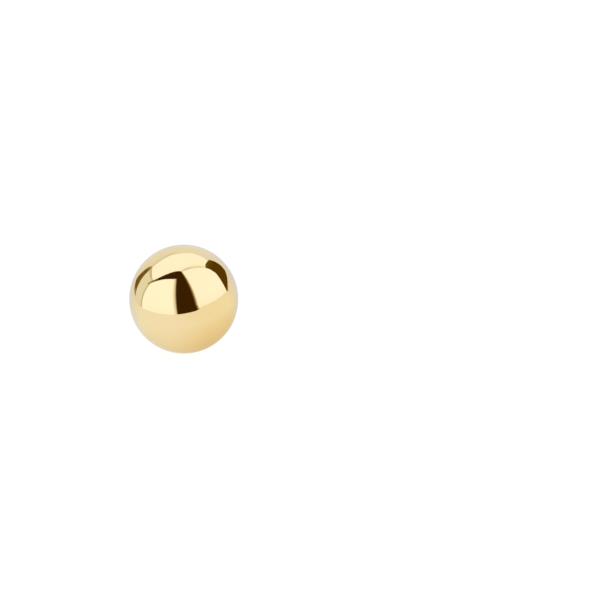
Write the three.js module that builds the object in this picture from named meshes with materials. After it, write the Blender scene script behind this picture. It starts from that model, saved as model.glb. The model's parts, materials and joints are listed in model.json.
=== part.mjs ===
// A ball stud earring in yellow gold, lying on a table as it lies by itself: on its ball and on the
// tip of its post. The ball is a thin hollow shell. Its back is punched flat and pierced, and the
// post stands on that flat, with a peg through the hole.
// Millimetres, +Z up. The ball is at the front, towards -Y. The post points back along +Y and dips
// to the table. The origin is on the table, under the middle of the stud.

import * as THREE from "three";

// The ball
const BALL_DIAMETER = 7;
const BALL_WALL = 0.25;

// The post, a round wire with a flared foot at the ball and a notch that a clutch snaps into
const POST_DIAMETER = 0.8;
const POST_LENGTH = 10; // from the flat on the ball to the tip
const PEG_REACH = 0.8; // how far the peg stands out inside the ball's wall
const FOOT_FLARE = 0.35; // radius of the hollow curve that widens the wire into the foot
const FOOT_RIM = 0.08; // height of the foot's upright edge
const TIP_ROUNDING = 0.2;
const NOTCH_TO_TIP = 1.7; // from the notch's middle to the tip
const NOTCH_WIDTH = 0.8;
const NOTCH_DEPTH = 0.07;

// Where the two pieces meet
const SEAT_RIM = 0.25; // the flat on the ball that stays open round the foot
const SEAT_GAP = 0.03;
const PEG_CLEARANCE = 0.03;

// How finely the round forms are cut into flats
const BALL_SIDES = 32;
const BALL_STEPS = 20;
const HOLLOW_STEPS = 14;
const POST_SIDES = 24;
const FILLET_STEPS = 4;

// Every piece is turned about one line through the ball's centre, the stud's axis. A place along
// the axis is counted from that centre, and grows towards the tip of the post.
const ballRadius = BALL_DIAMETER / 2;
const postRadius = POST_DIAMETER / 2;
const footRadius = postRadius + FOOT_FLARE;
const seatRadius = footRadius + SEAT_RIM;
const holeRadius = postRadius + PEG_CLEARANCE;
const seatAt = Math.sqrt(ballRadius ** 2 - seatRadius ** 2);
const tipAt = seatAt + POST_LENGTH;

// Points of an arc about a centre, each a pair of radius and place along the axis. An angle is 0
// square to the axis, and a quarter turn towards the tip.
function arc(centreRadius, centreAt, radius, from, to, steps) {
  return Array.from({ length: steps + 1 }, (_, step) => {
    const angle = from + ((to - from) * step) / steps;
    return [centreRadius + radius * Math.cos(angle), centreAt + radius * Math.sin(angle)];
  });
}

// A profile turned about the stud's axis. The middle of each flat touches the true round, and one
// flat faces straight down.
function turned(name, profile, sides, material) {
  const cornerOut = 1 / Math.cos(Math.PI / sides);
  const points = profile.map(([radius, at]) => new THREE.Vector2(radius * cornerOut, at));
  const mesh = new THREE.Mesh(new THREE.LatheGeometry(points, sides, Math.PI / sides), material);
  mesh.name = name;
  return mesh;
}

// The shell: round from the front to the flat, in through the hole, and round inside to the front.
function ball() {
  const seatAngle = Math.asin(seatAt / ballRadius);
  const hollowRadius = ballRadius - BALL_WALL;
  const hollowSeatAt = seatAt - BALL_WALL;
  const hollowSeatAngle = Math.asin(hollowSeatAt / hollowRadius);
  const outside = arc(0, 0, ballRadius, -Math.PI / 2, seatAngle, BALL_STEPS);
  const inside = arc(0, 0, hollowRadius, hollowSeatAngle, -Math.PI / 2, HOLLOW_STEPS);
  outside[0][0] = 0;
  inside.at(-1)[0] = 0;
  const profile = [
    ...outside,
    [footRadius, seatAt],
    [holeRadius, seatAt],
    [holeRadius, hollowSeatAt],
    ...inside,
  ];
  const gold = new THREE.MeshStandardMaterial({ color: 0xf2d9a1, metalness: 1, roughness: 0.04 });
  return turned("ball", profile, BALL_SIDES, gold);
}

// The wire: peg, foot, flare, shank, notch and rounded tip.
function post() {
  const footAt = seatAt + SEAT_GAP;
  const pegAt = seatAt - BALL_WALL - PEG_REACH;
  const flareAt = footAt + FOOT_RIM + FOOT_FLARE;
  const notchAt = tipAt - NOTCH_TO_TIP;
  const notchFloor = postRadius - NOTCH_DEPTH;
  const tipEdge = postRadius - TIP_ROUNDING;
  const profile = [
    [0, pegAt],
    [postRadius, pegAt],
    [postRadius, footAt],
    [footRadius, footAt],
    ...arc(footRadius, flareAt, FOOT_FLARE, -Math.PI / 2, -Math.PI, FILLET_STEPS),
    [postRadius, notchAt - NOTCH_WIDTH / 2],
    [notchFloor, notchAt - NOTCH_WIDTH / 4],
    [notchFloor, notchAt + NOTCH_WIDTH / 4],
    [postRadius, notchAt + NOTCH_WIDTH / 2],
    ...arc(tipEdge, tipAt - TIP_ROUNDING, TIP_ROUNDING, 0, Math.PI / 2, FILLET_STEPS),
    [0, tipAt],
  ];
  const gold = new THREE.MeshStandardMaterial({ color: 0xecd09a, metalness: 1, roughness: 0.16 });
  return turned("post", profile, POST_SIDES, gold);
}

// How far the post dips at rest: the table touches both the ball and the rounded edge of the tip.
function restingDip() {
  const edgeAt = tipAt - TIP_ROUNDING;
  const edgeRadius = postRadius - TIP_ROUNDING;
  const slope = Math.asin((ballRadius - TIP_ROUNDING) / Math.hypot(edgeAt, edgeRadius));
  return slope - Math.atan2(edgeRadius, edgeAt);
}

const stud = new THREE.Group();
stud.add(ball(), post());
stud.rotation.x = -restingDip();
const extent = new THREE.Box3().setFromObject(stud, true);
stud.position.set(0, -(extent.min.y + extent.max.y) / 2, -extent.min.z);

const earring = new THREE.Group();
earring.add(stud);

export default earring;
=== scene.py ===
# A ball stud earring of polished yellow gold. It lies by itself on a white table, on its ball and on the
# tip of its post. It is seen from the ball's side and a little from above, so the ball hides the post.
import json
import math

import bmesh
import bpy
from mathutils import Matrix, Vector


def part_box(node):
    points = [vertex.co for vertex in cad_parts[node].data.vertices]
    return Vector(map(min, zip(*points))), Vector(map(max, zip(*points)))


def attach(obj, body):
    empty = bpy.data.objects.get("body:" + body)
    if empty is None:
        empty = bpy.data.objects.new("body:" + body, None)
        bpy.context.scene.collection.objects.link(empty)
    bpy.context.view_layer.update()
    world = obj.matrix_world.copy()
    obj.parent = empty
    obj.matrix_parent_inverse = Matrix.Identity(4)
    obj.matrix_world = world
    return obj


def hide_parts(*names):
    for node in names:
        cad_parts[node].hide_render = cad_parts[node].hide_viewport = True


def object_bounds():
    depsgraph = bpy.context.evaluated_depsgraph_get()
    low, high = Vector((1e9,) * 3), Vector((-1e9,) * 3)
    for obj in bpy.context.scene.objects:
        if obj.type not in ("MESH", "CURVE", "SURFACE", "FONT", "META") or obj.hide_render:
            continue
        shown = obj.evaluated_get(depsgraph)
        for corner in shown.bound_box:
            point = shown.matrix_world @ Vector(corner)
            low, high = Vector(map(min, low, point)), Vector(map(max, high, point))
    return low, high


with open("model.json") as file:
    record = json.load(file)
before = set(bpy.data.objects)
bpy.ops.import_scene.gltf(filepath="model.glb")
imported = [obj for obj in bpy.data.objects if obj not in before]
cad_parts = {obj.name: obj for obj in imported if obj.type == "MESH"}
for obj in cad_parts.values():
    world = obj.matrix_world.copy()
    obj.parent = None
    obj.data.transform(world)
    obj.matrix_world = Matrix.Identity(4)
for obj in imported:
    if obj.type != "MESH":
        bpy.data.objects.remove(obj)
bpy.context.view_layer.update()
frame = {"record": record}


# The ball. The real one is a hollow shell of 14 carat yellow gold, a quarter of a millimetre thick and
# polished to a mirror. Its back is punched flat, which leaves a soft edge round the flat, and the flat is
# pierced for the post. The edge of that hole is rolled inwards, and the punch leaves the flat satin.
MM = 0.001
BALL_WALL = 0.25 * MM
FLAT_EDGE = 0.4 * MM
HOLE_RADIUS = 0.43 * MM
HOLE_LIP = 0.08 * MM
BALL_SIDES = 192
BALL_STEPS = 112
HOLLOW_STEPS = 56
EDGE_STEPS = 8
WELD = 0.0001 * MM
POLISHED_GOLD = (0.88, 0.69, 0.36, 1)
POLISHED_GOLD_WARMER = (0.86, 0.67, 0.335, 1)
GRAZING_TINT = (0.85, 0.93, 1, 1)
TONE_RANGE = (0.35, 0.65)
POLISH_RANGE = (0.35, 0.7)
POLISH_ROUGHNESS = (0.03, 0.05)
MARKS_ROUGHER = 0.03
SATIN_ROUGHER = 0.12
SATIN_STARTS = 0.08 * MM  # how far before the flat the satin starts, and how far before it is full
SATIN_FULL = 0.02 * MM
WAVE_HEIGHT = 0.001 * MM
FLAT_RING_HEIGHT = 0.003 * MM

# How many waves, patches or rings of each pattern go to the millimetre
TONE_PATCHES = 0.35
POLISH_PATCHES = 0.8
SURFACE_WAVES = 0.7
FLAT_RINGS = 30
MARK_PATCHES = 0.9

# Each set of polishing marks: how many go to the millimetre, how they are drawn out, and their turn
MARKS = (
    (1.6, (1, 0.08, 1), (20, 35, 10)),
    (1.3, (0.07, 1, 1), (50, -15, 30)),
)
MARK_WIDTH = 0.02
MARK_PATCH_RANGE = (0.5, 0.62)
RING_STRETCH = (0.02, 0.02, 1)

# Both pieces are round about one line, the stud's line. A place along it is counted from the ball's centre.
mounts = {mount["name"]: mount for mount in frame["record"]["mounts"]}
post_tip = Vector(mounts["post_tip"]["pos_m"])
stud_line = Vector(mounts["post_tip"]["axis"]).normalized()
ball_low, ball_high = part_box("ball")
ball_radius = (ball_high.x - ball_low.x) / 2
ball_middle = Vector((0, ball_low.y + ball_radius, ball_low.z + ball_radius))
ball_centre = post_tip + stud_line * stud_line.dot(ball_middle - post_tip)
flat_at = stud_line.dot(Vector(mounts["lobe_seat"]["pos_m"]) - ball_centre)
tip_at = stud_line.dot(post_tip - ball_centre)
across = Vector((1, 0, 0))
turning = Matrix((across, stud_line.cross(across), stud_line)).transposed()
stud_place = Matrix.Translation(ball_centre) @ turning.to_4x4()


def arc(centre, radius, start, end, steps):
    """Points of an arc as (radius, place along the line). Ninety degrees points to the post's tip."""
    angles = [math.radians(start + (end - start) * step / steps) for step in range(steps + 1)]
    return [(centre[0] + radius * math.cos(a), centre[1] + radius * math.sin(a)) for a in angles]


def turned(name, profile, sides, finish):
    """A closed piece, turned about the stud's line from a profile that starts and ends on it."""
    shape = bmesh.new()
    corners = [shape.verts.new((max(radius, 0), 0, at)) for radius, at in profile]
    edges = [shape.edges.new(pair) for pair in zip(corners, corners[1:])]
    bmesh.ops.spin(shape, geom=corners + edges, axis=(0, 0, 1), angle=math.tau, steps=sides, use_merge=True)
    bmesh.ops.remove_doubles(shape, verts=shape.verts, dist=WELD)
    bmesh.ops.recalc_face_normals(shape, faces=shape.faces)
    shape.transform(stud_place)
    mesh = bpy.data.meshes.new(name)
    shape.to_mesh(mesh)
    shape.free()
    mesh.shade_smooth()
    mesh.materials.append(finish)
    piece = bpy.data.objects.new(name, mesh)
    bpy.context.scene.collection.objects.link(piece)
    return piece


def node(finish, kind, inputs=(), **settings):
    """A new node of a finish. inputs pairs a socket with a value, or with the output that feeds it."""
    made = finish.node_tree.nodes.new(kind)
    for setting, value in settings.items():
        setattr(made, setting, value)
    for socket, value in dict(inputs).items():
        if isinstance(value, bpy.types.NodeSocket):
            finish.node_tree.links.new(value, made.inputs[socket])
        else:
            made.inputs[socket].default_value = value
    return made


def gold(name):
    """A gold finish with its shader and the place on the stud in millimetres, z along the stud's line."""
    finish = bpy.data.materials.new(name)
    finish.use_nodes = True
    shader = finish.node_tree.nodes["Principled BSDF"]
    shader.inputs["Metallic"].default_value = 1
    shader.inputs["Specular Tint"].default_value = GRAZING_TINT
    inputs = {
        "Vector": node(finish, "ShaderNodeTexCoord").outputs["Object"],
        "Location": ball_centre,
        "Rotation": turning.to_euler(),
        "Scale": (MM, MM, MM),
    }
    place = node(finish, "ShaderNodeMapping", inputs, vector_type="TEXTURE").outputs["Vector"]
    return finish, shader, place


def feed(finish, shader, **outputs):
    """Links outputs to the shader's sockets. A socket's name has its spaces as underscores."""
    for socket, output in outputs.items():
        finish.node_tree.links.new(output, shader.inputs[socket.replace("_", " ")])


def drawn_out(finish, place, stretch, turn=(0, 0, 0)):
    """A place for a pattern that is drawn out along the axes with a low stretch, and turned in degrees."""
    inputs = {"Vector": place, "Scale": stretch, "Rotation": [math.radians(angle) for angle in turn]}
    return node(finish, "ShaderNodeMapping", inputs).outputs["Vector"]


def noise(finish, place, scale, detail=2.0):
    """Noise of so many waves to the millimetre."""
    inputs = {"Vector": place, "Scale": scale, "Detail": detail}
    return node(finish, "ShaderNodeTexNoise", inputs).outputs["Fac"]


def span(finish, value, low, high, to_low, to_high):
    """value, moved from the range low to high into another range, and kept inside that."""
    inputs = {"Value": value, "From Min": low, "From Max": high, "To Min": to_low, "To Max": to_high}
    return node(finish, "ShaderNodeMapRange", inputs).outputs["Result"]


def sums(finish, operation, *values):
    """Values added, subtracted, multiplied or compared, or one without its sign."""
    return node(finish, "ShaderNodeMath", dict(enumerate(values)), operation=operation).outputs["Value"]


def vectors(finish, operation, *values):
    """Vectors subtracted, multiplied or brought to length 1, or the length of one."""
    made = node(finish, "ShaderNodeVectorMath", dict(enumerate(values)), operation=operation)
    return made.outputs["Value" if operation == "LENGTH" else "Vector"]


def tones(finish, value, low, high, first, last):
    """A colour that goes from the first to the last as value goes from low to high."""
    ramp = node(finish, "ShaderNodeValToRGB", {"Fac": value})
    for stop, position, colour in zip(ramp.color_ramp.elements, (low, high), (first, last)):
        stop.position = position
        stop.color = colour
    return ramp.outputs["Color"]


def hairlines(finish, place, scale, stretch, turn):
    """Fine straight polishing marks, 1 on a mark and 0 beside it, in patches."""
    inputs = {"Vector": drawn_out(finish, place, stretch, turn), "Scale": scale}
    line = node(finish, "ShaderNodeTexVoronoi", inputs, feature="DISTANCE_TO_EDGE").outputs["Distance"]
    on_line = span(finish, line, 0, MARK_WIDTH, 1, 0)
    patch = noise(finish, drawn_out(finish, place, (1, 1, 1), turn), MARK_PATCHES)
    return sums(finish, "MULTIPLY", on_line, span(finish, patch, *MARK_PATCH_RANGE, 0, 1))


def rings(finish, place, to_millimetre):
    """Fine ridges that run round the stud's line, as a lathe or a turning punch leaves them."""
    return noise(finish, drawn_out(finish, place, RING_STRETCH), to_millimetre, detail=3)


def bump(finish, height, distance, under=None):
    """A bump of that height in metres over the normal under it."""
    inputs = {"Height": height, "Distance": distance, "Strength": 1.0}
    if under:
        inputs["Normal"] = under
    return node(finish, "ShaderNodeBump", inputs).outputs["Normal"]


polished_gold, shader, place = gold("polished_gold")
along = node(polished_gold, "ShaderNodeSeparateXYZ", {"Vector": place}).outputs["Z"]
on_flat = span(polished_gold, along, (flat_at - SATIN_STARTS) / MM, (flat_at - SATIN_FULL) / MM, 0, 1)
from_line = vectors(polished_gold, "LENGTH", vectors(polished_gold, "MULTIPLY", place, (1, 1, 0)))
punched = node(polished_gold, "ShaderNodeCombineXYZ", {"Z": from_line}).outputs["Vector"]
marks = sums(polished_gold, "MAXIMUM", *[hairlines(polished_gold, place, *each) for each in MARKS])
polish_patches = noise(polished_gold, place, POLISH_PATCHES, detail=4)
polish = span(polished_gold, polish_patches, *POLISH_RANGE, *POLISH_ROUGHNESS)
polish = sums(polished_gold, "ADD", polish, sums(polished_gold, "MULTIPLY", marks, MARKS_ROUGHER))
polish = sums(polished_gold, "ADD", polish, sums(polished_gold, "MULTIPLY", on_flat, SATIN_ROUGHER))
waves = bump(polished_gold, noise(polished_gold, place, SURFACE_WAVES, detail=1), WAVE_HEIGHT)
flat_rings = sums(polished_gold, "MULTIPLY", rings(polished_gold, punched, FLAT_RINGS), on_flat)
tone_patches = noise(polished_gold, place, TONE_PATCHES)
feed(
    polished_gold,
    shader,
    Base_Color=tones(polished_gold, tone_patches, *TONE_RANGE, POLISHED_GOLD_WARMER, POLISHED_GOLD),
    Roughness=polish,
    Normal=bump(polished_gold, flat_rings, FLAT_RING_HEIGHT, waves),
)

hollow_radius = ball_radius - BALL_WALL
edge_centre_at = flat_at - FLAT_EDGE
edge_centre = (math.sqrt((ball_radius - FLAT_EDGE) ** 2 - edge_centre_at ** 2), edge_centre_at)
edge_angle = math.degrees(math.atan2(edge_centre[1], edge_centre[0]))
ball_profile = [
    *arc((0, 0), ball_radius, -90, edge_angle, BALL_STEPS),
    *arc(edge_centre, FLAT_EDGE, edge_angle, 90, EDGE_STEPS)[1:],
    *arc((HOLE_RADIUS + HOLE_LIP, flat_at - HOLE_LIP), HOLE_LIP, 90, 180, EDGE_STEPS),
    (HOLE_RADIUS, flat_at - BALL_WALL),
    *arc(edge_centre, FLAT_EDGE - BALL_WALL, 90, edge_angle, EDGE_STEPS),
    *arc((0, 0), hollow_radius, edge_angle, -90, HOLLOW_STEPS)[1:],
]
ball = turned("polished_ball", ball_profile, BALL_SIDES, polished_gold)
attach(ball, "root")
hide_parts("ball")


# The post. The real one is a piece of drawn gold wire, 0.8 mm thick. One end is turned down to a flared
# foot, which sits on the ball's flat, and to the peg that is pressed into its hole. The other end is
# rounded, and just before it a notch is turned, which a clutch snaps into.
POST_RADIUS = 0.4 * MM
PEG_REACH = 0.8 * MM
FOOT_FLARE = 0.35 * MM
FOOT_RIM = 0.08 * MM
FOOT_GAP = 0.03 * MM
FOOT_EDGE = 0.03 * MM
NOTCH_TO_TIP = 1.7 * MM
NOTCH_WIDTH = 0.8 * MM
NOTCH_DEPTH = 0.07 * MM
NOTCH_EDGE = 0.12 * MM
TIP_ROUNDING = 0.2 * MM
POST_SIDES = 96
DRAWN_GOLD = (0.86, 0.67, 0.35, 1)
DRAWN_GOLD_WARMER = (0.84, 0.64, 0.31, 1)
DRAW_LINES = 14
DRAW_STRETCH = (1, 1, 0.015)
LATHE_RINGS = 24
RIDGE_RANGE = (0.3, 0.7)
RIDGE_ROUGHNESS = (0.07, 0.14)
RIDGE_HEIGHT = 0.004 * MM
HANDLING_PATCHES = 0.9
HANDLING_RANGE = (0.35, 0.7)
HANDLING_ROUGHER = 0.05

# Where the lathe's rings fade out, from the notch's middle, as shares of the notch's width
NOTCH_RINGS = (0.4, 0.55)


def eased(before, corner, after, radius, steps):
    """A corner of a profile, rounded to a radius between the corners before and after it."""
    here = Vector(corner)
    to_before = (Vector(before) - here).normalized()
    to_after = (Vector(after) - here).normalized()
    half = to_before.angle(to_after) / 2
    centre = here + (to_before + to_after).normalized() * radius / math.sin(half)
    start = here + to_before * radius / math.tan(half) - centre
    end = here + to_after * radius / math.tan(half) - centre
    outwards = [start.slerp(end, step / steps).normalized() for step in range(steps + 1)]
    return [tuple(centre + direction * radius) for direction in outwards]


foot_at = flat_at + FOOT_GAP
foot_radius = POST_RADIUS + FOOT_FLARE
flare_centre = (foot_radius, foot_at + FOOT_RIM + FOOT_FLARE)
notch_at = tip_at - NOTCH_TO_TIP
notch = [
    (POST_RADIUS, flare_centre[1]),
    (POST_RADIUS, notch_at - NOTCH_WIDTH / 2),
    (POST_RADIUS - NOTCH_DEPTH, notch_at - NOTCH_WIDTH / 4),
    (POST_RADIUS - NOTCH_DEPTH, notch_at + NOTCH_WIDTH / 4),
    (POST_RADIUS, notch_at + NOTCH_WIDTH / 2),
    (POST_RADIUS, tip_at - TIP_ROUNDING),
]
notch_edges = [eased(*corners, NOTCH_EDGE, EDGE_STEPS) for corners in zip(notch, notch[1:], notch[2:])]
post_profile = [
    (0, flat_at - BALL_WALL - PEG_REACH),
    (POST_RADIUS, flat_at - BALL_WALL - PEG_REACH),
    (POST_RADIUS, foot_at),
    (foot_radius - FOOT_EDGE, foot_at),
    (foot_radius, foot_at + FOOT_EDGE),
    *arc(flare_centre, FOOT_FLARE, -90, -180, EDGE_STEPS * 2),
    *[point for edge in notch_edges for point in edge],
    *arc((POST_RADIUS - TIP_ROUNDING, tip_at - TIP_ROUNDING), TIP_ROUNDING, 0, 90, EDGE_STEPS),
    (0, tip_at),
]

drawn_gold, shader, place = gold("drawn_gold")
along = node(drawn_gold, "ShaderNodeSeparateXYZ", {"Vector": place}).outputs["Z"]
at_foot = span(drawn_gold, along, (flare_centre[1] - FOOT_FLARE / 2) / MM, flare_centre[1] / MM, 1, 0)
from_notch = sums(drawn_gold, "ABSOLUTE", sums(drawn_gold, "SUBTRACT", along, notch_at / MM))
in_notch = span(drawn_gold, from_notch, *[share * NOTCH_WIDTH / MM for share in NOTCH_RINGS], 1, 0)
at_tip = span(drawn_gold, along, (tip_at - TIP_ROUNDING) / MM, (tip_at - TIP_ROUNDING / 2) / MM, 0, 1)
lathe = sums(drawn_gold, "MAXIMUM", at_foot, sums(drawn_gold, "MAXIMUM", in_notch, at_tip))
wire = span(drawn_gold, lathe, 0, 1, 1, 0)
draw_lines = noise(drawn_gold, drawn_out(drawn_gold, place, DRAW_STRETCH), DRAW_LINES, detail=3)
ridges = sums(
    drawn_gold,
    "ADD",
    sums(drawn_gold, "MULTIPLY", draw_lines, wire),
    sums(drawn_gold, "MULTIPLY", rings(drawn_gold, place, LATHE_RINGS), lathe),
)
handling = noise(drawn_gold, place, HANDLING_PATCHES, detail=3)
feed(
    drawn_gold,
    shader,
    Base_Color=tones(drawn_gold, handling, *TONE_RANGE, DRAWN_GOLD_WARMER, DRAWN_GOLD),
    Roughness=sums(
        drawn_gold,
        "ADD",
        span(drawn_gold, ridges, *RIDGE_RANGE, *RIDGE_ROUGHNESS),
        span(drawn_gold, handling, *HANDLING_RANGE, 0, HANDLING_ROUGHER),
    ),
    Normal=bump(drawn_gold, ridges, RIDGE_HEIGHT),
)

post = turned("post_wire", post_profile, POST_SIDES, drawn_gold)
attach(post, "root")
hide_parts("post")


# The camera. It has a long lens, looks down on the ball at 28 degrees and leans 9 degrees. It keeps the
# ball left of the middle of the picture, where the photo has it.
PHOTO_SIZE = 600
BALL_PIXEL = (183.85, 299.0)
BALL_PIXELS_WIDE = 108.9
CAMERA_ELEVATION = 28
CAMERA_LEAN = 9
LENS = 100
SENSOR = 36
CLIP_START = 0.01
CLIP_END = 5


def towards(azimuth, elevation):
    """The direction of an azimuth (0 is the camera's side, 90 its right) and elevation in degrees."""
    azimuth, elevation = math.radians(azimuth), math.radians(elevation)
    level = math.cos(elevation)
    return Vector((math.sin(azimuth) * level, -math.cos(azimuth) * level, math.sin(elevation)))


half_angle = math.atan(BALL_PIXELS_WIDE / 2 / PHOTO_SIZE * SENSOR / LENS)
camera_distance = ball_radius / math.sin(half_angle)
pan = math.atan((PHOTO_SIZE / 2 - BALL_PIXEL[0]) / PHOTO_SIZE * SENSOR / LENS)
tilt = math.atan((PHOTO_SIZE / 2 - BALL_PIXEL[1]) / PHOTO_SIZE * SENSOR / LENS)
camera_data = bpy.data.cameras.new("camera")
camera_data.lens = LENS
camera_data.sensor_width = SENSOR
camera_data.clip_start = CLIP_START
camera_data.clip_end = CLIP_END
camera = bpy.data.objects.new("camera", camera_data)
bpy.context.scene.collection.objects.link(camera)
camera.matrix_world = (
    Matrix.Translation(ball_centre + towards(0, CAMERA_ELEVATION) * camera_distance)
    @ Matrix.Rotation(math.radians(90 - CAMERA_ELEVATION), 4, "X")
    @ Matrix.Rotation(math.radians(-CAMERA_LEAN), 4, "Z")
    @ Matrix.Rotation(-pan, 4, "Y")
    @ Matrix.Rotation(-tilt, 4, "X")
)
bpy.context.scene.camera = camera
bpy.context.scene.view_settings.view_transform = "Standard"


# The table. A plain white sheet that glows and is lit so strongly that it shows pure white, with hardly a
# shadow. The gold mirrors it with its true shadow and with painted light and shade: a warm painted glow,
# and painted tones that differ on each side of the ball, near it and behind it. So it is made as two sheets
# in one
# place: one that the camera sees, and one that the gold mirrors.
TABLE_SIZE = 1.6
SEEN_WHITE = (0.12, 0.12, 0.12, 1)
SEEN_GLOW = (0.93, 0.93, 0.93, 1)
# Painted light and shade of the mirrored table: dull colours, lit by the room, that make it lighter and
# bluer on the left, darkest and warmest near the ball on its right, and a little darker behind the ball.
# Its warm glow is painted light too.
MIRRORED_LEFT = (0.12, 0.295, 0.555, 1)
MIRRORED_RIGHT_NEAR = (0.045, 0.125, 0.15, 1)
MIRRORED_RIGHT_FAR = (0.12, 0.265, 0.425, 1)
MIRRORED_BACK_LEFT = (0.05, 0.2, 0.41, 1)
MIRRORED_BACK_RIGHT = (0.03, 0.165, 0.47, 1)
MIRRORED_GLOW = (0.86, 0.66, 0.42, 1)

# Where one painted tone of the mirrored table passes into the next: how far from the ball, and in which
# direction from it
NEAR_TO_FAR = (2 * MM, 9 * MM)
LEFT_TO_RIGHT = (-0.6, 0.6)
FRONT_TO_BACK = (0.1, 0.8)

table_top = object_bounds()[0].z


def shown_to(thing, camera, reflections):
    """Whether the camera and whether reflections see a thing of the studio. It casts no shadow."""
    thing.visible_camera = camera
    thing.visible_glossy = reflections
    thing.visible_diffuse = False
    thing.visible_transmission = False
    thing.visible_shadow = False


def plain(name, white, glow):
    """A dull finish of that colour, which also gives off a glow. On the mirrored table both are painted
    light and shade.
    """
    finish = bpy.data.materials.new(name)
    finish.use_nodes = True
    shader = finish.node_tree.nodes["Principled BSDF"]
    shader.inputs["Base Color"].default_value = white
    shader.inputs["Roughness"].default_value = 1
    shader.inputs["Specular IOR Level"].default_value = 0
    shader.inputs["Emission Color"].default_value = glow
    shader.inputs["Emission Strength"].default_value = 1
    finish.cycles.emission_sampling = "NONE"
    return finish


def sheet(name, finish):
    """A level sheet under the stud."""
    half = TABLE_SIZE / 2
    corners = [(-half, -half), (half, -half), (half, half), (-half, half)]
    mesh = bpy.data.meshes.new(name)
    mesh.from_pydata([(x, y, table_top) for x, y in corners], [], [(0, 1, 2, 3)])
    mesh.materials.append(finish)
    laid = bpy.data.objects.new(name, mesh)
    bpy.context.scene.collection.objects.link(laid)
    return laid


def mixed(finish, part, first, second):
    """A colour between the first and the second, by a part from 0 to 1."""
    # The node has sockets of one name for each kind of value. Those for colours are found by number.
    inputs = {0: part, 6: first, 7: second}
    return node(finish, "ShaderNodeMix", inputs, data_type="RGBA").outputs[2]


seen_white = plain("table_seen", SEEN_WHITE, SEEN_GLOW)
shown_to(sheet("table_seen", seen_white), camera=True, reflections=False)

mirrored_painted_light_and_shade = plain("table_mirrored", MIRRORED_LEFT, MIRRORED_GLOW)
table_place = node(mirrored_painted_light_and_shade, "ShaderNodeTexCoord").outputs["Object"]
from_ball = vectors(mirrored_painted_light_and_shade, "SUBTRACT", table_place, (ball_centre.x, ball_centre.y, table_top))
away = span(mirrored_painted_light_and_shade, vectors(mirrored_painted_light_and_shade, "LENGTH", from_ball), *NEAR_TO_FAR, 0, 1)
direction = vectors(mirrored_painted_light_and_shade, "NORMALIZE", from_ball)
heading = node(mirrored_painted_light_and_shade, "ShaderNodeSeparateXYZ", {"Vector": direction})
to_right = span(mirrored_painted_light_and_shade, heading.outputs["X"], *LEFT_TO_RIGHT, 0, 1)
to_back = span(mirrored_painted_light_and_shade, heading.outputs["Y"], *FRONT_TO_BACK, 0, 1)
# Painted light and shade of the mirrored table, mixed by distance and direction from the ball.
right_painted_shade = mixed(mirrored_painted_light_and_shade, away, MIRRORED_RIGHT_NEAR, MIRRORED_RIGHT_FAR)
front_painted_light_and_shade = mixed(mirrored_painted_light_and_shade, to_right, MIRRORED_LEFT, right_painted_shade)
back_painted_light_and_shade = mixed(mirrored_painted_light_and_shade, to_right, MIRRORED_BACK_LEFT, MIRRORED_BACK_RIGHT)
feed(
    mirrored_painted_light_and_shade,
    mirrored_painted_light_and_shade.node_tree.nodes["Principled BSDF"],
    Base_Color=mixed(mirrored_painted_light_and_shade, to_back, front_painted_light_and_shade, back_painted_light_and_shade),
)
shown_to(sheet("table_mirrored", mirrored_painted_light_and_shade), camera=False, reflections=True)


# The studio round the table, which the gold mirrors: large white light panels with dark gaps between them
# and thin grey seams where they meet. Each is a curtain of light that hangs round the stud, with a pale
# wall behind them all.
STUDIO_RADIUS = 0.15
FOOT_REACH = 0.85  # how much of the way from the ball to the table a curtain's foot goes
AIMING_ROUNDS = 4
CURTAIN_STEPS = 60
ROW_STEPS = 8

# Where its rows start, a curtain has this share of its light, and after so many steps it has all of it
START_DIM = (1, 0.955, 0.91)
START_STEPS = 15

LEFT_LIGHT = (1.2, 1.33, 1.63)
RIGHT_LIGHT = (1.2, 1.31, 1.66)
CEILING_LIGHT = (1.2, 1.29, 1.6)
NARROW_LIGHT = (0.91, 0.95, 1.02)
WALL_LEFT_LIGHT = (0.955, 0.94, 0.92)
WALL_BACK_LIGHT = (0.965, 0.985, 1.06)
WALL_RIGHT_LIGHT = (0.93, 0.97, 1.2)
WALL_FOOT_LIGHT = (1.0, 0.985, 0.93)
SWEEP_LIGHT = (1.015, 1.025, 1.0)
PALE_SEAM = (0.82, 0.87, 0.96)
PALER_SEAM = (0.95, 1.0, 1.1)
GREY_SEAM = (0.67, 0.67, 0.65)
PANEL_EDGE = (1.02, 1.04, 1.05)
PANEL_DIM_EDGE = (0.86, 0.83, 0.75)
PANEL_DARK_EDGE = (0.43, 0.38, 0.25)
DARK_GAP = (0.05, 0.0195, 0.0003)
GAP_TAIL = (0.24, 0.165, 0.02)
GAP_END = (0.46, 0.38, 0.17)
LEFT_FLAG = (0.2, 0.13, 0.02)
LEFT_FLAG_TOP = (0.33, 0.27, 0.13)
LEFT_FLAG_FOOT = (0.4, 0.36, 0.22)
RIGHT_FLAG = (0.11, 0.052, 0.001)
RIGHT_FLAG_TOP = (0.165, 0.1, 0.004)
RIGHT_FLAG_FOOT = (0.25, 0.18, 0.06)
RIGHT_FLAG_TIP = (0.75, 0.65, 0.4)

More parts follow.
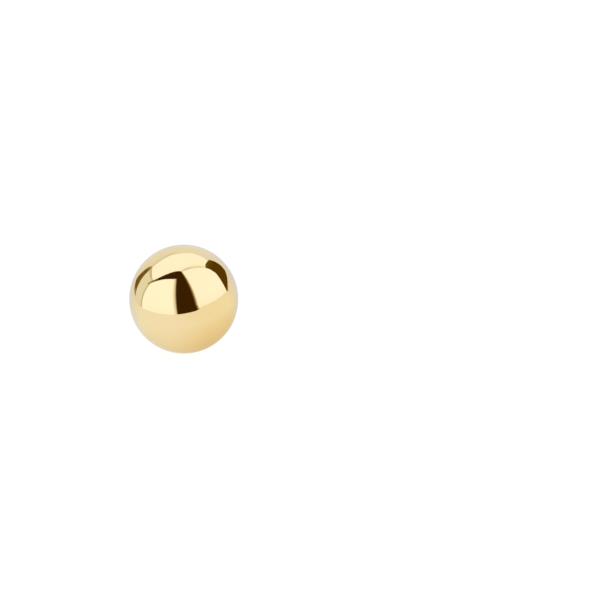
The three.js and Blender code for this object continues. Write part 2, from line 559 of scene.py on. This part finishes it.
# For each curtain, how far out it hangs, as a nearer one hides those behind it, and its rows. A row is its
# light, its start and its end. These two are directions (azimuth, elevation), and the ball mirrors to the
# camera what hangs there.
CURTAINS = {
    "left_flag": (0.98, [
        (LEFT_FLAG_TOP, (-142.2, 29.5), (-140.8, 31)),
        (LEFT_FLAG_TOP, (-143.4, 24), (-137.2, 31)),
        (LEFT_FLAG, (-143.4, 16.2), (-133.4, 26.6)),
        (LEFT_FLAG, (-143.3, 10.6), (-131.5, 20.3)),
        (LEFT_FLAG, (-144.5, 3), (-129.9, 14.5)),
        (LEFT_FLAG, (-144.9, -2.4), (-128.4, 9)),
        (LEFT_FLAG, (-139.5, -4.2), (-127.2, 3.2)),
        (LEFT_FLAG_FOOT, (-132.5, -5.6), (-125.6, -0.8)),
        (LEFT_FLAG_FOOT, (-125.5, -5.6), (-124.4, -4.9)),
    ]),
    "right_flag": (0.98, [
        (RIGHT_FLAG_TOP, (131.5, 32.2), (123.7, 38.6)),
        (RIGHT_FLAG_TOP, (139.3, 23.3), (112.9, 41.8)),
        (RIGHT_FLAG, (140.5, 14), (112.5, 34)),
        (RIGHT_FLAG, (140.7, 3.6), (110.8, 23)),
        (RIGHT_FLAG, (138, -1.4), (106.9, 15.8)),
        (RIGHT_FLAG, (125, -2), (103.8, 7)),
        (RIGHT_FLAG, (115, -3.3), (102.9, -0.6)),
        (RIGHT_FLAG_FOOT, (111, -5.7), (103, -4.8)),
        (RIGHT_FLAG_TIP, (108.5, -8.4), (106, -7.9)),
    ]),
    "gap_corner": (0.99, [
        (DARK_GAP, (20.5, -1.7), (21, 10)),
        (DARK_GAP, (23.5, -1.6), (21.6, 10)),
        (PANEL_DARK_EDGE, (27.2, -0.6), (25.3, 10)),
        (PANEL_EDGE, (28.4, 0), (26.7, 10)),
    ]),
    "left_panel": (1.0, [
        (LEFT_LIGHT, (-98.6, -7.4), (-100.8, 31.6)),
        (LEFT_LIGHT, (-94.5, -7.4), (-96, 40.5)),
        (LEFT_LIGHT, (-89, -6.2), (-90, 48)),
        (LEFT_LIGHT, (-79, -4.8), (-80, 57)),
        (LEFT_LIGHT, (-59, -4.1), (-60.5, 65.6)),
        (LEFT_LIGHT, (-42, -3.2), (-54, 67.3)),
        (LEFT_LIGHT, (-24.3, -2.6), (-41, 69.3)),
        (PANEL_DIM_EDGE, (-19, -2.4), (-30, 70.8)),
        (DARK_GAP, (-16.3, -2.2), (-22, 71.5)),
    ]),
    "right_panel": (1.0, [
        (DARK_GAP, (20.9, -1.5), (34, 84.3)),
        (PANEL_DARK_EDGE, (24.7, -0.5), (45, 84.3)),
        (PANEL_EDGE, (26, 0), (54, 84.1)),
        (RIGHT_LIGHT, (28.6, 1.2), (63, 83.8)),
        (RIGHT_LIGHT, (36, 3.4), (74, 82.8)),
        (RIGHT_LIGHT, (48, 2.1), (89, 78.8)),
        (RIGHT_LIGHT, (64.5, 0.9), (101, 70)),
        (RIGHT_LIGHT, (82.5, -1.6), (105.5, 61)),
        (RIGHT_LIGHT, (96, -3.5), (109, 51)),
        (RIGHT_LIGHT, (105.5, -6.8), (114.5, 41)),
    ]),
    "front_gap": (1.02, [
        (GAP_END, (-103.6, 27.2), (-107.2, 28.2)),
        (GAP_END, (-100.8, 33), (-105.2, 35)),
        (GAP_TAIL, (-93, 42), (-100, 43.6)),
        (DARK_GAP, (-82, 50), (-96.6, 51.5)),
        (DARK_GAP, (-60, 60), (-94.6, 60)),
        (DARK_GAP, (-34, 50), (-93.5, 69)),
        (DARK_GAP, (-22, 10), (-93.5, 77)),
        (DARK_GAP, (-17.5, -2.7), (-95, 83)),
        (DARK_GAP, (-12.6, -2.8), (50, 89)),
        (DARK_GAP, (4, -2.2), (58, 86)),
        (DARK_GAP, (19.5, -1.9), (60, 84)),
        (DARK_GAP, (29, 0.2), (62, 82)),
    ]),
    "ceiling": (1.04, [
        (CEILING_LIGHT, (-102, 37.5), (-104.5, 39.5)),
        (CEILING_LIGHT, (-97, 42.5), (-116, 38.4)),
        (CEILING_LIGHT, (-92, 52), (-125.1, 37)),
        (CEILING_LIGHT, (-88, 62), (-138, 33)),
        (CEILING_LIGHT, (-84, 73), (-140.2, 34.8)),
        (CEILING_LIGHT, (-70, 80), (-147.4, 38.3)),
        (CEILING_LIGHT, (20, 86), (-161, 41.1)),
        (CEILING_LIGHT, (56, 86.2), (-173.5, 40)),
        (CEILING_LIGHT, (104, 84.2), (173.9, 40.3)),
        (CEILING_LIGHT, (116.5, 75), (157.9, 34)),
        (CEILING_LIGHT, (116.5, 64), (150.3, 32.2)),
        (CEILING_LIGHT, (116.5, 53), (142.7, 29.2)),
        (CEILING_LIGHT, (116.5, 40), (133, 29)),
    ]),
    "narrow_panel": (1.04, [
        (NARROW_LIGHT, (-102.6, -9), (-105.4, 37)),
        (NARROW_LIGHT, (-111, -9), (-111, 36)),
        (NARROW_LIGHT, (-120, -9), (-119, 33.6)),
        (NARROW_LIGHT, (-130, -8), (-129, 31.3)),
        (NARROW_LIGHT, (-140, -6), (-141, 27)),
    ]),
    "side_seam": (1.06, [
        (GREY_SEAM, (-96, -7), (-96, 32)),
        (GREY_SEAM, (-108, -7), (-108, 32)),
    ]),
    "narrow_seam": (1.08, [
        (GREY_SEAM, (-101, 33), (-101, 41)),
        (GREY_SEAM, (-112, 32), (-112, 40)),
        (GREY_SEAM, (-126, 29), (-126, 38)),
        (GREY_SEAM, (-139, 25), (-139, 34)),
    ]),
    "panel_seam": (1.08, [
        (PALE_SEAM, (46, 83), (140, 84)),
        (PALE_SEAM, (90, 74), (132, 74)),
        (PALER_SEAM, (100, 64), (130, 62)),
        (PALER_SEAM, (105, 50), (126, 50)),
        (PALER_SEAM, (108, 36), (122, 36)),
    ]),
    "back_seam": (1.08, [
        (PALE_SEAM, (-138, 27), (-137, 36)),
        (PALE_SEAM, (-146, 29.6), (-144, 40)),
        (PALE_SEAM, (-153, 32.7), (-151, 43)),
        (PALE_SEAM, (-164.2, 33.5), (-163, 46)),
        (PALE_SEAM, (-174.5, 32.3), (-175, 46)),
        (WALL_BACK_LIGHT, (172, 36), (172, 44)),
    ]),
    "wall_foot": (1.1, [
        (WALL_FOOT_LIGHT, (158, -6), (158, 5)),
        (WALL_FOOT_LIGHT, (-180, -6), (-180, 5)),
        (WALL_FOOT_LIGHT, (-156, -6), (-156, 5)),
    ]),
    "back_wall": (1.12, [
        (WALL_RIGHT_LIGHT, (100, -4), (100, 38)),
        (WALL_RIGHT_LIGHT, (140, -4), (140, 38)),
        (WALL_BACK_LIGHT, (165, -4), (165, 40)),
        (WALL_BACK_LIGHT, (-172, -4), (-172, 40)),
        (WALL_LEFT_LIGHT, (-150, -4), (-150, 38)),
        (WALL_LEFT_LIGHT, (-118, -4), (-118, 36)),
    ]),
    "sweep": (1.12, [
        (SWEEP_LIGHT, (15, -3), (15, 5)),
        (SWEEP_LIGHT, (70, -3), (70, 5)),
    ]),
}


def hung(direction, out):
    """The place that the ball mirrors in that direction, on the studio's dome or over the table."""
    outwards = direction
    for _ in range(AIMING_ROUNDS):
        mirror = ball_centre + outwards * ball_radius
        outwards = ((camera.matrix_world.translation - mirror).normalized() + direction).normalized()
    mirror = ball_centre + outwards * ball_radius
    reach = STUDIO_RADIUS
    if direction.z < 0:
        reach = min(reach, FOOT_REACH * (mirror.z - table_top) / -direction.z)
    return mirror + direction * reach * out


def spread(rows):
    """Rows of (light, directions) that fill a curtain evenly, from the few that give its shape."""
    last = len(rows) - 1
    for step in range(last * ROW_STEPS + 1):
        before = min(step // ROW_STEPS, last - 1)
        part = step / ROW_STEPS - before
        (light, *edges), (next_light, *next_edges) = rows[before], rows[before + 1]
        start, end = [towards(*a).slerp(towards(*b), part) for a, b in zip(edges, next_edges)]
        directions = [start.slerp(end, place / CURTAIN_STEPS) for place in range(CURTAIN_STEPS + 1)]
        yield Vector(light).lerp(next_light, part), directions


curtain_light = bpy.data.materials.new("curtain_light")
curtain_light.use_nodes = True
curtain_light.cycles.emission_sampling = "NONE"
light = node(curtain_light, "ShaderNodeVertexColor", layer_name="light").outputs["Color"]
emission = node(curtain_light, "ShaderNodeEmission", {"Color": light}).outputs["Emission"]
surface = curtain_light.node_tree.nodes["Material Output"].inputs["Surface"]
curtain_light.node_tree.links.new(emission, surface)

for name, (out, rows) in CURTAINS.items():
    rows = list(spread(rows))
    places = [hung(direction, out) for light, directions in rows for direction in directions]
    width = CURTAIN_STEPS + 1
    faces = [
        (corner, corner + width, corner + width + 1, corner + 1)
        for row in range(len(rows) - 1)
        for corner in range(row * width, row * width + CURTAIN_STEPS)
    ]
    mesh = bpy.data.meshes.new(name)
    mesh.from_pydata(places, [], faces)
    lights = mesh.color_attributes.new("light", "FLOAT_COLOR", "POINT")
    for index in range(len(places)):
        row, step = divmod(index, width)
        dim = Vector(START_DIM).lerp((1, 1, 1), min(step / START_STEPS, 1))
        lights.data[index].color = (*(rows[row][0] * dim), 1)
    mesh.materials.append(curtain_light)
    curtain = bpy.data.objects.new(name, mesh)
    bpy.context.scene.collection.objects.link(curtain)
    shown_to(curtain, camera=False, reflections=True)


# The light of the room. It is white and comes evenly from all sides, as in a white studio. It lights the
# table and gives the stud its soft shadow.
ROOM_WHITE = (1, 1, 1, 1)
ROOM_STRENGTH = 1.3

room = bpy.data.worlds.new("room")
room.use_nodes = True
background = room.node_tree.nodes["Background"]
background.inputs["Color"].default_value = ROOM_WHITE
background.inputs["Strength"].default_value = ROOM_STRENGTH
bpy.context.scene.world = room
